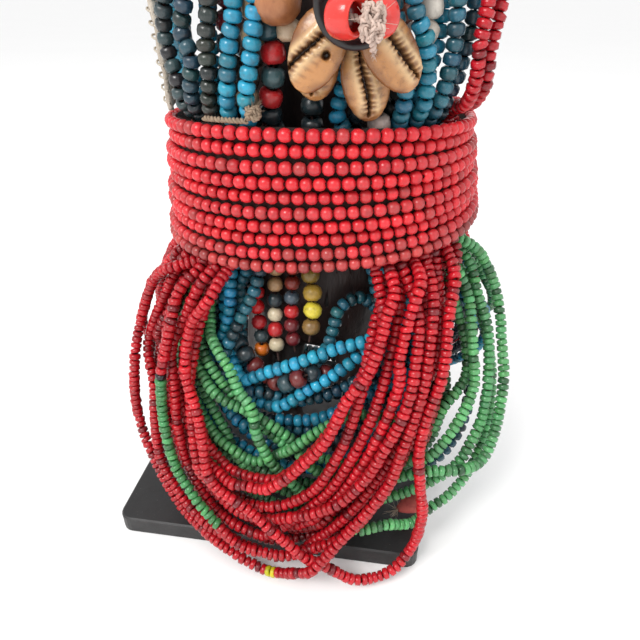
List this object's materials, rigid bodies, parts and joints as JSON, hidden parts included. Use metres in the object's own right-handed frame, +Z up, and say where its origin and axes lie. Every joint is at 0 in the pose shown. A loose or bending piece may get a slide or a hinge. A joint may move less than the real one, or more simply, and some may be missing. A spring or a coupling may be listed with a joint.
{
  "type": "namji doll",
  "caption": "Carved wooden doll on a square base plate, dressed in a wide bead belt, hanging bead strands, necklaces, cowrie shells and a disc pendant.",
  "frame": {"origin": "centre of the base plate's underside", "axes": "+Z up, the doll faces -Y, +X to the right of someone facing the doll"},
  "size_m": [0.1525, 0.1455, 0.4007],
  "materials": {
    "black_lacquer": "satin black with pale dust specks",
    "dark_wood": "dark oiled wood, worn smooth",
    "belt_glass": "glossy red, some beads dull and dirty",
    "red_seed_glass": "glossy red seed beads",
    "green_glass": "glossy green seed beads",
    "blue_glass": "blue and teal beads with a worn gloss",
    "mixed_glass": "larger worn beads of several colours",
    "black_disc": "satin black",
    "orange_red_glass": "glossy orange red",
    "pale_twine": "frayed twine",
    "cowrie_shell": "aged glossy shell",
    "dull_red": "matt dull red",
    "pale_hide": "pale frayed hide",
    "grey_twine": "grey twisted twine"
  },
  "bodies": {
    "root": {"base_plate": "black_lacquer", "carved_figure": "dark_wood", "waist_belt": "belt_glass", "red_bead_strands": "red_seed_glass", "green_bead_strands": "green_glass", "blue_bead_strands": "blue_glass", "mixed_bead_strands": "mixed_glass", "pendant_disc": "black_disc", "pendant_bead_left": "orange_red_glass", "pendant_bead_right": "orange_red_glass", "pendant_knot": "pale_twine", "cowrie_1": "cowrie_shell", "cowrie_2": "cowrie_shell", "cowrie_3": "cowrie_shell", "cowrie_4": "cowrie_shell", "seed_cone": "dull_red", "hide_strip": "pale_hide", "belt_cord": "grey_twine"}
  },
  "joints": []
}
